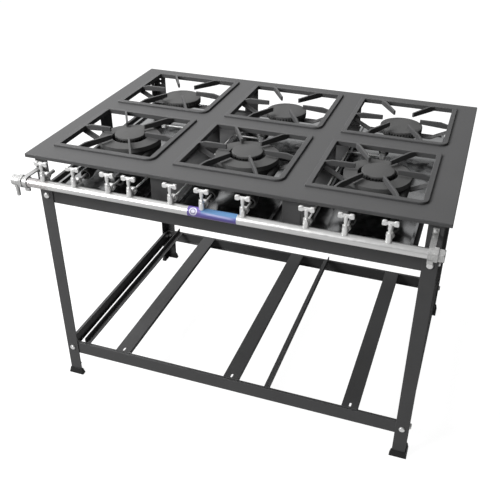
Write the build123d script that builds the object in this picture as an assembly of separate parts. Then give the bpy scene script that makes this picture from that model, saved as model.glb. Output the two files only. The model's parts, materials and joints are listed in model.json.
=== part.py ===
"""Six-burner industrial gas stove on an open angle-iron stand, in millimetres.

+X is the user's right, +Y the back, +Z up. The finished stove stands on the plane z = 0 and is
centred on its own box, which the last section works out.
"""
from build123d import *
import os
from math import cos, sin, radians, sqrt

# Hob plate: one folded sheet with a square opening for each grate
plate_width = 1128.0
plate_depth = 772.0
plate_height = 790.0
plate_sheet = 3.0
plate_lip = 10.0
plate_corner = 2.5
plate_edge_round = 2.0

# Grates: cast rims that lie on the plate, with fingers that carry the pots
column_pitch = 359.0
row_pitch = 359.0
front_pitch = 357.5
front_shift = -8.0
rear_shift = -2.5
front_border = 68.0
grate_side = 300.0
grate_corner = 25.0
grate_sharp_corner = 1.2
grate_inner_corner = 1.5
grate_bar = 14.0
grate_rise = 6.0
grate_edge_round = 2.0
rim_overlap = 8.0
skirt_gap = 1.0
skirt_drop = 7.0
finger_count = 6
finger_thickness = 6.5
finger_rise = 5.0
finger_ramp = 20.0
finger_tip_radius = 55.0
finger_tip_height = 13.0
finger_embed = 4.0
finger_edge_round = 1.2

# Stand: four angle legs, two rings of folded rails, posts and flat bearers under the plate
leg_span = 1094.0
leg_front_inset = 19.0
leg_back_inset = 5.0
angle_width = 38.0
angle_wall = 3.0
rail_height = 44.0
rail_flange = 10.0
rail_wall = 3.0
lower_rail_top = 130.0
post_height = 105.0
post_width = 48.0
side_post_width = 66.0
post_wall = 3.0
bearer_width = 142.0
outer_bearer_width = 30.0
outer_bearer_span = 982.0
bearer_wall = 3.0
foot_height = 20.0
foot_sole = 5.0
foot_wall = 2.5
foot_flare = 6.5
foot_gap = 0.2

# Bottom rack: three folded slats and two small angles that would carry an oven
slat_width = 48.0
slat_sheet = 2.0
slat_fold = 10.0
slat_pitch = 363.0
slat_shift = 11.0
slat_seat = 5.0
slat_slot_width = 6.0
slat_slot_length = 16.0
slat_slot_gap = 1.0
runner_width = 18.0
runner_wall = 3.0
runner_left_x = -485.0
runner_right_x = 135.0

# Fasteners: domed bolts with hexagon nuts
bolt_radius = 3.0
bolt_gap = 0.3
bolt_head_radius = 8.5
bracket_head_radius = 5.0
bolt_head_height = 5.0
bolt_head_round = 3.0
bolt_tail = 2.0
nut_flats = 12.0
nut_height = 5.0
spare_hole_drops = (33.0, 48.0)

# Burner hangers: flat bars bent into a shallow trough under each opening
hanger_width = 25.0
hanger_wall = 3.0
hanger_bend = 158.0
hanger_tab = 19.0
hanger_seat = 89.0
hanger_depth = 35.0

# Burner castings, measured upwards from the hanger seat
burner_pitch = 357.0
burner_shift = -3.2
burner_base = 4.0
burner_wall = 5.0
mixer_rise = 3.0
mixer_radius = 9.0
mixer_bore = 6.5
mouth_radius = 14.0
mouth_bore = 11.0
mouth_length = 18.0
mouth_taper = 24.0
front_mouth_inset = 2.0
cup_radius = 37.0
cup_height = 27.5
cup_ledge = 3.0
inner_cap_radius = 42.5
inner_cap_height = 12.0
inner_cap_slots = 30
ring_outer_radius = 88.0
ring_inner_radius = 52.0
ring_body_height = 16.0
ring_cap_height = 15.0
ring_boss_radius = 10.0
ring_boss_setback = 8.0
ring_cap_slots = 40
rear_body_radius = 53.0
rear_body_height = 12.5
rear_cap_radius = 62.0
rear_cap_height = 12.5
rear_cap_slots = 44
cap_crown = 2.0
cap_thickness = 4.0
cap_edge_round = 1.5
slot_width = 3.6
slot_height = 6.5
rear_mouth_reach = 160.0
rear_entry_offset = 22.0

# Drip trays: shallow pans that slide out under the gas rail
tray_width = 268.0
tray_shift = -13.0
tray_height = 8.0
tray_back_height = 4.0
tray_rim = 6.0
tray_sheet = 1.2
tray_setback = 6.0
tray_pull = 8.0

# Gas rail with its fittings
pipe_diameter = 25.4
pipe_wall = 2.0
pipe_left_x = -552.0
pipe_right_x = 552.0
pipe_forward = 54.0
socket_gap = 0.05
cap_flats = 29.0
lock_nut_flats = 34.0
lock_nut_length = 9.0
end_cap_length = 15.0
end_cap_engage = 7.0
inlet_radius = 14.0
inlet_reach = 19.0
inlet_engage = 6.0
inlet_wall = 4.0
inlet_bevel = 2.0
hose_radius = 5.0
hose_length = 25.0
hose_bore = 3.0
hose_nut_flats = 13.0
hose_nut_length = 6.0
bracket_span = 1058.0
bracket_width = 14.0
bracket_wall = 3.0
bracket_tab_margin = 7.0
bracket_ear = 11.0
bracket_ear_depth = 6.0

# Taps: quarter-turn plug cocks along the rail, from left to right
oven_tap_x = -475.0
left_inner_tap_x = -382.0
left_outer_tap_x = -283.0
left_rear_tap_x = -222.0
middle_rear_tap_x = -109.0
middle_inner_tap_x = -25.0
middle_outer_tap_x = 81.0
right_rear_tap_x = 238.0
right_inner_tap_x = 331.0
right_outer_tap_x = 432.0
tap_outlet_rise = 18.0
tap_body_radius = 7.4
tap_body_rise = 29.0
tap_gland_flats = 13.0
tap_gland_height = 7.0
tap_spud_radius = 5.0
tap_spud_depth = 4.0
tap_passage = 2.2
tap_boss_radius = 7.0
tap_boss_length = 16.0
plug_radius = 4.0
plug_gap = 0.05
plug_floor_drop = 4.5
handle_rise = 60.0
handle_width = 39.0
handle_lobe_length = 12.0
handle_lobe_height = 12.4
handle_lobe_corner = 3.5
handle_bar_height = 7.6
handle_thickness = 7.5
handle_round = 1.6
handle_hub_radius = 5.0
handle_hub_height = 11.0
injector_flats = 14.0
injector_hex = 8.0
injector_radius = 3.0
injector_bore = 1.0
injector_entry = 6.0
feed_radius = 2.5
feed_bore = 1.6
feed_bend = 12.0
feed_fall = 4.0
elbow_width = 15.0
elbow_drop = 12.0
elbow_rise = 7.0

# Places that follow from the sizes above
plate_under = plate_height - plate_sheet
plate_front = -plate_depth / 2
plate_back = plate_depth / 2
leg_x = leg_span / 2
leg_front = plate_front + leg_front_inset
leg_back = plate_back - leg_back_inset
leg_middle = (leg_front + leg_back) / 2
rail_front = leg_front + angle_wall
rail_back = leg_back - angle_wall
rail_end = leg_x - angle_wall
upper_rail_top = plate_under - post_height
column_x = (-column_pitch, 0.0, column_pitch)
front_grate_x = (front_shift - front_pitch, front_shift, front_shift + front_pitch)
rear_grate_x = (rear_shift - column_pitch, rear_shift, rear_shift + column_pitch)
burner_x = (burner_shift - burner_pitch, burner_shift, burner_shift + burner_pitch)
front_row = plate_front + front_border + grate_side / 2
rear_row = front_row + row_pitch
row_middle = (front_row + rear_row) / 2
opening_side = grate_side - 2 * rim_overlap
opening_corner = grate_corner - rim_overlap
grate_inner = grate_side - 2 * grate_bar
rim_top = plate_height + grate_rise
finger_top = rim_top + finger_rise
finger_root_bottom = plate_height - skirt_drop
hanger_top = plate_under - hanger_depth
pipe_radius = pipe_diameter / 2
pipe_y = plate_front - pipe_forward
outlet_z = hanger_top + mixer_rise
pipe_height = outlet_z - tap_outlet_rise
outlet_y = pipe_y + tap_boss_length
front_mouth = plate_front + front_mouth_inset
rear_mouth = rear_row - rear_mouth_reach
bolt_x = leg_x - angle_width / 2
bolt_front_y = leg_front + angle_width / 2
bolt_back_y = leg_back - angle_width / 2
bolt_levels = (lower_rail_top - rail_height / 2, upper_rail_top - rail_height / 2)
bracket_x = bracket_span / 2
bracket_bolt_z = plate_height - spare_hole_drops[0]
bolt_hole_radius = bolt_radius + bolt_gap
bay_names = ("left", "middle", "right")
inner_taps = (left_inner_tap_x, middle_inner_tap_x, right_inner_tap_x)
outer_taps = (left_outer_tap_x, middle_outer_tap_x, right_outer_tap_x)
rear_taps = (left_rear_tap_x, middle_rear_tap_x, right_rear_tap_x)
rear_sides = [1 if tap_x > x else -1 for tap_x, x in zip(rear_taps, column_x)]
rear_tubes = [x + side * rear_entry_offset for x, side in zip(column_x, rear_sides)]
all_taps = (oven_tap_x,) + tuple(sorted(inner_taps + outer_taps + rear_taps))

nodes = {}


def block(x0, x1, y0, y1, z0, z1):
    """Box between two corners."""
    box = Box(abs(x1 - x0), abs(y1 - y0), abs(z1 - z0))
    return Pos((x0 + x1) / 2, (y0 + y1) / 2, (z0 + z1) / 2) * box


def rod_z(x, y, z0, z1, radius):
    """Upright cylinder from z0 to z1."""
    return Pos(x, y, (z0 + z1) / 2) * Cylinder(radius, abs(z1 - z0))


def rod_y(x, z, y0, y1, radius):
    """Cylinder along Y from y0 to y1."""
    return Pos(x, (y0 + y1) / 2, z) * Rot(90, 0, 0) * Cylinder(radius, abs(y1 - y0))


def rod_x(y, z, x0, x1, radius):
    """Cylinder along X from x0 to x1."""
    return Pos((x0 + x1) / 2, y, z) * Rot(0, 90, 0) * Cylinder(radius, abs(x1 - x0))


def hexagon(flats, length):
    """Hexagon bar on Z, centred, given across its flats."""
    return extrude(RegularPolygon(flats / sqrt(3), 6), length / 2, both=True)


def hex_y(x, z, y0, y1, flats):
    """Hexagon bar along Y from y0 to y1."""
    return Pos(x, (y0 + y1) / 2, z) * Rot(90, 0, 0) * hexagon(flats, abs(y1 - y0))


def prism_z(points, z0, z1):
    """Upright prism over a closed outline."""
    outline = make_face(Polyline(*points, close=True))
    return Pos(0, 0, z0) * extrude(outline, z1 - z0, dir=(0, 0, 1))


def turned(points):
    """Solid of revolution about Z from (radius, height) points."""
    outline = make_face(Polyline(*[(r, 0, z) for r, z in points], close=True))
    return revolve(outline, Axis.Z)


def store(name, *solids):
    """Keep a node as a list of its separate solids."""
    nodes[name] = [piece for solid in solids for piece in solid.solids()]


# Hob plate
def make_hob_plate():
    plate = extrude(RectangleRounded(plate_width, plate_depth, plate_corner), plate_lip)
    plate = Pos(0, 0, plate_height - plate_lip) * plate
    top_edges = plate.faces().sort_by(Axis.Z)[-1].edges()
    plate = fillet(top_edges, plate_edge_round)
    inside_x = plate_width / 2 - plate_sheet
    inside_y = plate_depth / 2 - plate_sheet
    plate -= block(-inside_x, inside_x, -inside_y, inside_y, plate_height - plate_lip, plate_under)
    opening = extrude(RectangleRounded(opening_side, opening_side, opening_corner), plate_lip)
    for y, row in ((front_row, front_grate_x), (rear_row, rear_grate_x)):
        for x in row:
            plate -= Pos(x, y, plate_height - plate_lip + 1) * opening
    return plate


store("hob_plate", make_hob_plate())


# Cast grates
def make_finger(angle):
    """Upright fin that climbs from the rim and runs level to its blunt tip."""
    reach = max(abs(cos(radians(angle))), abs(sin(radians(angle))))
    root = grate_inner / 2 / reach
    outline = (
        (finger_tip_radius, finger_top),
        (root - finger_ramp, finger_top),
        (root, rim_top),
        (root + 2 * grate_bar, rim_top),
        (root + 2 * grate_bar, finger_root_bottom),
        (root - finger_ramp / 2, finger_root_bottom),
        (finger_tip_radius, finger_top - finger_tip_height),
    )
    face = make_face(Polyline(*[(r, 0, z) for r, z in outline], close=True))
    fin = extrude(face, finger_thickness / 2, dir=(0, 1, 0), both=True)
    sides = fin.faces().filter_by(Axis.Y)
    fin = fillet(sides.edges(), finger_edge_round)
    clip = grate_inner / 2 + finger_embed
    fin &= Rot(0, 0, -angle) * block(-clip, clip, -clip, clip, finger_root_bottom, finger_top)
    return Rot(0, 0, angle) * fin


def make_grate():
    skirt_side = opening_side - 2 * skirt_gap
    hole = RectangleRounded(grate_inner, grate_inner, grate_inner_corner)
    outline = Rectangle(grate_side, grate_side)
    corners = outline.vertices().sort_by(lambda corner: corner.X - corner.Y)
    outline = fillet(corners[-1], grate_corner)
    corners = outline.vertices().filter_by(lambda corner: abs(abs(corner.X) - abs(corner.Y)) < 0.01)
    outline = fillet(corners, grate_sharp_corner)
    rim = Pos(0, 0, plate_height) * extrude(outline, grate_rise)
    rim = fillet(rim.faces().sort_by(Axis.Z)[-1].edges(), grate_edge_round)
    skirt = extrude(RectangleRounded(skirt_side, skirt_side, opening_corner - skirt_gap), skirt_drop)
    grate = rim + Pos(0, 0, finger_root_bottom) * skirt
    grate -= Pos(0, 0, finger_root_bottom) * extrude(hole, grate_rise + skirt_drop)
    for step in range(finger_count):
        grate += make_finger(step * 360 / finger_count)
    return grate


grate = make_grate()
for bay, front_x, rear_x in zip(bay_names, front_grate_x, rear_grate_x):
    store(f"grate_front_{bay}", Pos(front_x, front_row, 0) * grate)
    store(f"grate_rear_{bay}", Pos(rear_x, rear_row, 0) * grate)


# Angle legs and their plastic boots
def angle_outline(corner_x, corner_y, turn_x, turn_y, outer, inner, wall, width):
    """L outline from an outside corner; outer and inner grow it on each side."""
    local = (
        (-outer, -outer),
        (width + outer, -outer),
        (width + outer, wall + inner),
        (wall + inner, wall + inner),
        (wall + inner, width + outer),
        (-outer, width + outer),
    )
    return [(corner_x + turn_x * u, corner_y + turn_y * v) for u, v in local]


def make_leg(corner_x, corner_y, turn_x, turn_y):
    outline = angle_outline(corner_x, corner_y, turn_x, turn_y, 0, 0, angle_wall, angle_width)
    leg = prism_z(outline, foot_sole, plate_under)
    flange_x = corner_x + turn_x * angle_width / 2
    flange_y = corner_y + turn_y * angle_width / 2
    drill = 2 * angle_wall
    for z in bolt_levels:
        leg -= rod_y(flange_x, z, corner_y - drill, corner_y + drill, bolt_hole_radius)
        leg -= rod_x(flange_y, z, corner_x - drill, corner_x + drill, bolt_hole_radius)
    for drop in spare_hole_drops:
        z = plate_height - drop
        leg -= rod_y(flange_x, z, corner_y - drill, corner_y + drill, bolt_hole_radius)
    leg -= rod_x(flange_y, z, corner_x - drill, corner_x + drill, bolt_hole_radius)
    return leg


def make_foot(corner_x, corner_y, turn_x, turn_y):
    place = (corner_x, corner_y, turn_x, turn_y)
    sole = angle_outline(*place, foot_flare, foot_flare, angle_wall, angle_width)
    rim = angle_outline(*place, foot_wall, foot_wall, angle_wall, angle_width)
    sole_face = make_face(Polyline(*[(x, y, 0) for x, y in sole], close=True))
    rim_face = make_face(Polyline(*[(x, y, foot_height) for x, y in rim], close=True))
    boot = loft([sole_face, rim_face], ruled=True)
    slot = angle_outline(*place, foot_gap, foot_gap, angle_wall, angle_width)
    return boot - prism_z(slot, foot_sole, foot_height + foot_sole)


corners = {
    "front_left": (-leg_x, leg_front, 1, 1),
    "front_right": (leg_x, leg_front, -1, 1),
    "back_left": (-leg_x, leg_back, 1, -1),
    "back_right": (leg_x, leg_back, -1, -1),
}
for name, corner in corners.items():
    store(f"leg_{name}", make_leg(*corner))
store("feet", *[make_foot(*corner) for corner in corners.values()])


# Folded rails of the stand
def cross_rail(outer_y, inward, top):
    """Channel along X: an upright wall with a narrow flange folded inwards along both edges."""
    bottom = top - rail_height
    flange_y = outer_y + inward * rail_flange
    rail = block(-rail_end, rail_end, outer_y, outer_y + inward * rail_wall, bottom, top)
    for z in (bottom, top - rail_wall):
        rail += block(-rail_end, rail_end, outer_y, flange_y, z, z + rail_wall)
    for x in (-bolt_x, bolt_x):
        z = top - rail_height / 2
        rail -= rod_y(x, z, outer_y - 2 * rail_wall, outer_y + 2 * rail_wall, bolt_hole_radius)
    return rail


def side_rail(side, top):
    """Channel along Y between the front and back rails, its flanges notched to pass theirs."""
    outer = side * rail_end
    bottom = top - rail_height
    y0 = rail_front + rail_wall
    y1 = rail_back - rail_wall
    rail = block(outer, outer - side * rail_wall, y0, y1, bottom + rail_wall, top - rail_wall)
    y0 = rail_front + rail_flange
    y1 = rail_back - rail_flange
    for z in (bottom, top - rail_wall):
        rail += block(outer, outer - side * rail_flange, y0, y1, z, z + rail_wall)
    for y in (bolt_front_y, bolt_back_y):
        z = top - rail_height / 2
        rail -= rod_x(y, z, outer - 2 * rail_wall, outer + 2 * rail_wall, bolt_hole_radius)
    return rail


for level, top in (("upper", upper_rail_top), ("lower", lower_rail_top)):
    store(f"{level}_front_rail", cross_rail(rail_front, 1, top))
    store(f"{level}_back_rail", cross_rail(rail_back, -1, top))
    store(f"{level}_side_rails", side_rail(-1, top), side_rail(1, top))

# Flat bearers under the upper rails' flanges, between and beside the drip trays
post_x = column_pitch / 2
bearer_top = upper_rail_top - rail_wall
outer_bearer_x = (outer_bearer_span - outer_bearer_width) / 2
bearer_rows = (
    (-outer_bearer_x, outer_bearer_width),
    (-post_x, bearer_width),
    (post_x, bearer_width),
    (outer_bearer_x, outer_bearer_width),
)
bearers = []
for x, width in bearer_rows:
    y0 = rail_front + rail_wall
    y1 = rail_back - rail_wall
    bearers.append(block(x - width / 2, x + width / 2, y0, y1, bearer_top - bearer_wall, bearer_top))
store("tray_bearers", *bearers)

# Flat posts that hold up the plate: between the bays at front, middle and back, and at the sides
plate_posts = []
for x in (-post_x, post_x):
    x0 = x - post_width / 2
    x1 = x + post_width / 2
    y0 = rail_front + rail_wall
    plate_posts.append(block(x0, x1, y0, y0 + post_wall, upper_rail_top, plate_under))
    y0 = row_middle - post_wall / 2
    plate_posts.append(block(x0, x1, y0, y0 + post_wall, bearer_top, plate_under))
    y0 = rail_back - rail_wall
    plate_posts.append(block(x0, x1, y0 - post_wall, y0, upper_rail_top, plate_under))
side_posts = []
for side in (-1, 1):
    x0 = side * (rail_end - rail_wall)
    y0 = leg_middle - side_post_width / 2
    y1 = leg_middle + side_post_width / 2
    side_posts.append(block(x0, x0 - side * post_wall, y0, y1, upper_rail_top, plate_under))
store("plate_posts", *plate_posts)
store("side_posts", *side_posts)

# Bottom rack, laid on the flanges of the lower rails
rack_front = rail_front + rail_flange - slat_seat
rack_back = rail_back - rail_flange + slat_seat


def make_slat(x):
    """Flat strip with both long edges folded down, and one fixing slot at its front end."""
    x0 = x - slat_width / 2
    x1 = x + slat_width / 2
    slat = block(x0, x1, rack_front, rack_back, lower_rail_top, lower_rail_top + slat_sheet)
    fold_front = rack_front + 2 * slat_seat
    fold_back = rack_back - 2 * slat_seat
    bottom = lower_rail_top - slat_fold
    slat += block(x0, x0 + slat_sheet, fold_front, fold_back, bottom, lower_rail_top)
    slat += block(x1 - slat_sheet, x1, fold_front, fold_back, bottom, lower_rail_top)
    slot = SlotOverall(slat_slot_length, slat_slot_width, rotation=90)
    slot_y = rail_front + rail_flange + slat_slot_gap + slat_slot_length / 2
    return slat - Pos(x, slot_y, bottom) * extrude(slot, 2 * slat_fold)


def make_runner(x, inward):
    """Small angle along Y with its upright wall at x and its foot turned inwards."""
    z0 = lower_rail_top
    wall = block(x, x + inward * runner_wall, rack_front, rack_back, z0, z0 + runner_width)
    return wall + block(x, x + inward * runner_width, rack_front, rack_back, z0, z0 + runner_wall)


for step, bay in enumerate(bay_names):
    store(f"shelf_slat_{bay}", make_slat(slat_shift + (step - 1) * slat_pitch))
store("oven_runners", make_runner(runner_left_x, 1), make_runner(runner_right_x, -1))


# Bolts and nuts of the stand and of the gas rail brackets
def make_bolt(grip, head_radius):
    """Domed bolt on Z: the head sits on z = 0 and the shank runs down through the grip."""
    head = Pos(0, 0, bolt_head_height / 2) * Cylinder(head_radius, bolt_head_height)
    head = fillet(head.faces().sort_by(Axis.Z)[-1].edges(), bolt_head_round)
    return head + rod_z(0, 0, -grip - nut_height - bolt_tail, 0, bolt_radius)


def make_nut(grip):
    """Hexagon nut on Z below a grip that starts at z = 0."""
    nut = Pos(0, 0, -grip - nut_height / 2) * hexagon(nut_flats, nut_height)
    return nut - rod_z(0, 0, -grip - 2 * nut_height, 0, bolt_radius)


grip = angle_wall + rail_wall
bolt_places = []
for z in bolt_levels:
    for side in (-1, 1):
        bolt_places.append(Pos(side * bolt_x, leg_front, z) * Rot(90, 0, 0))
        bolt_places.append(Pos(side * bolt_x, leg_back, z) * Rot(-90, 0, 0))
        bolt_places.append(Pos(side * leg_x, bolt_front_y, z) * Rot(0, side * 90, 0))
        bolt_places.append(Pos(side * leg_x, bolt_back_y, z) * Rot(0, side * 90, 0))
bracket_grip = bracket_wall + angle_wall
bracket_face = leg_front - bracket_wall
bracket_places = [Pos(side * bolt_x, bracket_face, bracket_bolt_z) * Rot(90, 0, 0) for side in (-1, 1)]
frame_bolts = [place * make_bolt(grip, bolt_head_radius) for place in bolt_places]
frame_bolts += [place * make_bolt(bracket_grip, bracket_head_radius) for place in bracket_places]
frame_nuts = [place * make_nut(grip) for place in bolt_places]
frame_nuts += [place * make_nut(bracket_grip) for place in bracket_places]
store("frame_bolts", *frame_bolts)
store("frame_nuts", *frame_nuts)


# Burner hangers, welded under the plate on both sides of each opening
def make_hanger(x, y):
    run = hanger_bend - hanger_seat
    slope = sqrt(run ** 2 + hanger_depth ** 2)
    drop = hanger_wall * slope / run
    half = (
        (hanger_seat, hanger_top),
        (hanger_bend, plate_under),
        (hanger_bend + hanger_tab, plate_under),
        (hanger_bend + hanger_tab, plate_under - hanger_wall),
        (hanger_bend + (drop - hanger_wall) * run / hanger_depth, plate_under - hanger_wall),
        (hanger_seat + (drop - hanger_wall) * run / hanger_depth, hanger_top - hanger_wall),
    )
    outline = [(x + u, 0, z) for u, z in half] + [(x - u, 0, z) for u, z in reversed(half)]
    face = make_face(Polyline(*outline, close=True))
    return Pos(0, y, 0) * extrude(face, hanger_width / 2, dir=(0, 1, 0), both=True)


hangers = [make_hanger(x, front_row) for x in burner_x]
store("burner_hangers", *hangers, *[make_hanger(x, rear_row) for x in column_x])


# Burner castings
def mixer_mouth(x, y0, radius, mouth):
    """Bell mouth of a mixing tube along Y: a straight collar, then a taper to the tube."""
    y1 = y0 + mouth_length
    collar = rod_y(x, outlet_z, y0, y1, mouth)
    taper = Pos(x, y1 + mouth_taper / 2, outlet_z) * Rot(-90, 0, 0) * Cone(mouth, radius, mouth_taper)
    return collar + taper


def ring_slots(count, radius, z0):
    """Radial cutters for the flame slots round a cap's foot."""
    depth = 3 * burner_wall
    cutter = Pos(radius, 0, z0 + slot_height / 2) * Box(depth, slot_width, slot_height)
    return [Rot(0, 0, step * 360 / count) * cutter for step in range(count)]


def make_front_burner(x, inner_x, outer_x):
    """Double casting: a central cup inside a ring channel, each with its own mixing tube."""
    z0 = hanger_top
    z1 = z0 + burner_base
    ring_top = z0 + ring_body_height
    body = turned(((0, z0), (ring_outer_radius - 1, z0), (ring_outer_radius - 1, z1), (0, z1)))
    outer_wall = ring_outer_radius - 1
    inner_wall = ring_inner_radius + burner_wall - 1
    for radius in (outer_wall, inner_wall):
        inside = radius - burner_wall
        body += turned(((inside, z0), (radius, z0), (radius, ring_top), (inside, ring_top)))
    cup_top = z0 + cup_height
    cup_inside = cup_radius - burner_wall
    ledge = inner_cap_radius - 1
    body += turned((
        (cup_inside, z0),
        (cup_radius, z0),
        (cup_radius, cup_top - cup_ledge - (ledge - cup_radius)),
        (ledge, cup_top - cup_ledge),
        (ledge, cup_top),
        (cup_inside, cup_top),
    ))
    inner_dx = inner_x - x
    cup_reach = sqrt((cup_radius - burner_wall / 2) ** 2 - inner_dx ** 2)
    outer_dx = outer_x - x
    channel = (outer_wall + inner_wall) / 2
    outer_reach = sqrt(max(channel ** 2 - outer_dx ** 2, (hanger_width / 2 + 3) ** 2))
    body = Pos(x, front_row, 0) * body
    body += rod_z(outer_x, front_row - ring_boss_setback, z1, ring_top - cap_crown, ring_boss_radius)
    for tube_x, reach in ((inner_x, cup_reach), (outer_x, outer_reach)):
        y1 = front_row - reach
        body += rod_y(tube_x, outlet_z, front_mouth, y1, mixer_radius)
        body += mixer_mouth(tube_x, front_mouth, mixer_radius, mouth_radius)
        body -= rod_y(tube_x, outlet_z, front_mouth, y1 - burner_wall / 2, mixer_bore)
        body -= mixer_mouth(tube_x, front_mouth, mixer_bore, mouth_bore)
    return body


def make_cap(radius, height, slots):
    """Round cap on z = 0: a crowned top on a short wall with flame slots round its foot."""
    inside = radius - burner_wall
    cap = turned((
        (0, height + cap_crown),
        (radius / 2, height + cap_crown * 0.75),
        (radius, height),
        (radius, 0),
        (inside, 0),
        (inside, height - cap_thickness),
        (0, height - cap_thickness),
    ))
    rim = cap.edges().filter_by(GeomType.CIRCLE).filter_by(lambda edge: abs(edge.radius - radius) < 0.01)
    cap = fillet(rim.sort_by(Axis.Z)[-1], cap_edge_round)
    return cap - ring_slots(slots, radius, 0)


def make_ring_cap():
    """Annular cap on z = 0 over the ring channel, with flame slots in its inner foot."""
    outer_inside = ring_outer_radius - burner_wall
    inner_outside = ring_inner_radius + burner_wall
    cap = turned((
        (ring_inner_radius, 0),
        (inner_outside, 0),
        (inner_outside, ring_cap_height - cap_thickness),
        (outer_inside, ring_cap_height - cap_thickness),
        (outer_inside, 0),
        (ring_outer_radius, 0),
        (ring_outer_radius, ring_cap_height - cap_crown),
        (ring_inner_radius, ring_cap_height),
    ))
    return cap - ring_slots(ring_cap_slots, ring_inner_radius, 0)


def make_rear_burner(x, tube_x):
    """Single casting: a bowl with one straight mixing tube towards the front."""
    z0 = hanger_top
    top = z0 + rear_body_height
    ledge = rear_cap_radius - 0.5
    body = turned((
        (0, z0),
        (rear_body_radius, z0),
        (ledge, top - burner_wall),
        (ledge, top),
        (ledge - 2 * burner_wall, top),
        (rear_body_radius - burner_wall, z0 + burner_base),
        (0, z0 + burner_base),
    ))
    tube_end = rear_row - rear_body_radius + 2 * burner_wall
    body = Pos(x, rear_row, 0) * body
    body += rod_y(tube_x, outlet_z, rear_mouth, tube_end, mixer_radius)
    body += mixer_mouth(tube_x, rear_mouth, mixer_radius, mouth_radius)
    body -= rod_y(tube_x, outlet_z, rear_mouth, tube_end, mixer_bore)
    return body - mixer_mouth(tube_x, rear_mouth, mixer_bore, mouth_bore)


for bay, x, inner_x, outer_x in zip(bay_names, burner_x, inner_taps, outer_taps):
    store(f"front_burner_{bay}", make_front_burner(x, inner_x, outer_x))
for bay, x, tube_x in zip(bay_names, column_x, rear_tubes):
    store(f"rear_burner_{bay}", make_rear_burner(x, tube_x))
inner_cap = make_cap(inner_cap_radius, inner_cap_height, inner_cap_slots)
rear_cap = make_cap(rear_cap_radius, rear_cap_height, rear_cap_slots)
ring_cap = make_ring_cap()
cup_seat = hanger_top + cup_height
ring_seat = hanger_top + ring_body_height
rear_seat = hanger_top + rear_body_height
store("inner_burner_caps", *[Pos(x, front_row, cup_seat) * inner_cap for x in burner_x])
store("ring_burner_caps", *[Pos(x, front_row, ring_seat) * ring_cap for x in burner_x])
store("rear_burner_caps", *[Pos(x, rear_row, rear_seat) * rear_cap for x in column_x])


# Drip trays
def make_tray(x):
    """Shallow pan with turned-out side rims, a pull lip in front and a low back wall."""
    x0 = x - tray_width / 2
    x1 = x + tray_width / 2
    y0 = rail_front + tray_setback
    y1 = rail_back - tray_setback
    z0 = upper_rail_top
    z1 = z0 + tray_height
    tray = block(x0 + tray_rim, x1 - tray_rim, y0, y1, z0, z1)
    inside_x0 = x0 + tray_rim + tray_sheet
    inside_x1 = x1 - tray_rim - tray_sheet
    inside_y1 = y1 - tray_sheet
    tray -= block(inside_x0, inside_x1, y0 + tray_sheet, inside_y1, z0 + tray_sheet, z1 + tray_sheet)
    tray -= block(inside_x0, inside_x1, inside_y1, y1 + tray_sheet, z0 + tray_back_height, z1 + tray_sheet)
    tray += block(x0, inside_x0, y0, y1, z1 - tray_sheet, z1)
    tray += block(inside_x1, x1, y0, y1, z1 - tray_sheet, z1)
    return tray + block(x0 + tray_rim, x1 - tray_rim, y0 - tray_pull, y0 + tray_sheet, z1 - tray_sheet, z1)


for bay, x in zip(bay_names, column_x):
    store(f"drip_tray_{bay}", make_tray(x + tray_shift))


# Gas rail and the fittings at its ends
def make_gas_rail():
    pipe = rod_x(pipe_y, pipe_height, pipe_left_x, pipe_right_x, pipe_radius)
    pipe -= rod_x(pipe_y, pipe_height, pipe_left_x, pipe_right_x, pipe_radius - pipe_wall)
    for x in all_taps:
        pipe -= rod_z(x, pipe_y, pipe_height, pipe_height + pipe_diameter, tap_spud_radius)
    return pipe


def lock_nut(x0, x1):
    """Hexagon lock nut along X round the gas rail."""
    nut = Pos((x0 + x1) / 2, pipe_y, pipe_height) * Rot(0, 90, 0) * hexagon(lock_nut_flats, x1 - x0)
    return nut - rod_x(pipe_y, pipe_height, x0, x1, pipe_radius + socket_gap)


def make_end_cap():
    """Hexagon cap screwed over the right end of the rail, with a bevelled nose."""
    x0 = pipe_right_x - end_cap_engage
    x1 = x0 + end_cap_length
    cap = Pos((x0 + x1) / 2, pipe_y, pipe_height) * Rot(0, 90, 0) * hexagon(cap_flats, x1 - x0)
    nose = rod_x(pipe_y, pipe_height, x0, x1, cap_flats / sqrt(3))
    nose = chamfer(nose.faces().sort_by(Axis.X)[-1].edges(), cap_flats / 2 - pipe_radius + 1)
    cap &= nose
    return cap - rod_x(pipe_y, pipe_height, x0, pipe_right_x, pipe_radius + socket_gap)


def make_inlet():
    """Round cap over the left end of the rail, with a hose tail that hangs from it."""
    x0 = pipe_left_x - inlet_reach
    x1 = pipe_left_x + inlet_engage
    tail_x = pipe_left_x - inlet_reach / 2
    nut_end = pipe_height - inlet_radius - hose_nut_length
    tail_end = nut_end - hose_length
    inlet = rod_x(pipe_y, pipe_height, x0, x1, inlet_radius)
    inlet = chamfer(inlet.faces().sort_by(Axis.X)[0].edges(), inlet_bevel)
    inlet += Pos(tail_x, pipe_y, (pipe_height + nut_end) / 2) * hexagon(hose_nut_flats, pipe_height - nut_end)
    inlet += rod_z(tail_x, pipe_y, tail_end, nut_end, hose_radius)
    inlet -= rod_x(pipe_y, pipe_height, pipe_left_x, x1, pipe_radius + socket_gap)
    inlet -= rod_x(pipe_y, pipe_height, x0 + inlet_wall, pipe_left_x, inlet_radius - inlet_wall)
    return inlet - rod_z(tail_x, pipe_y, tail_end, pipe_height, hose_bore)


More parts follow.
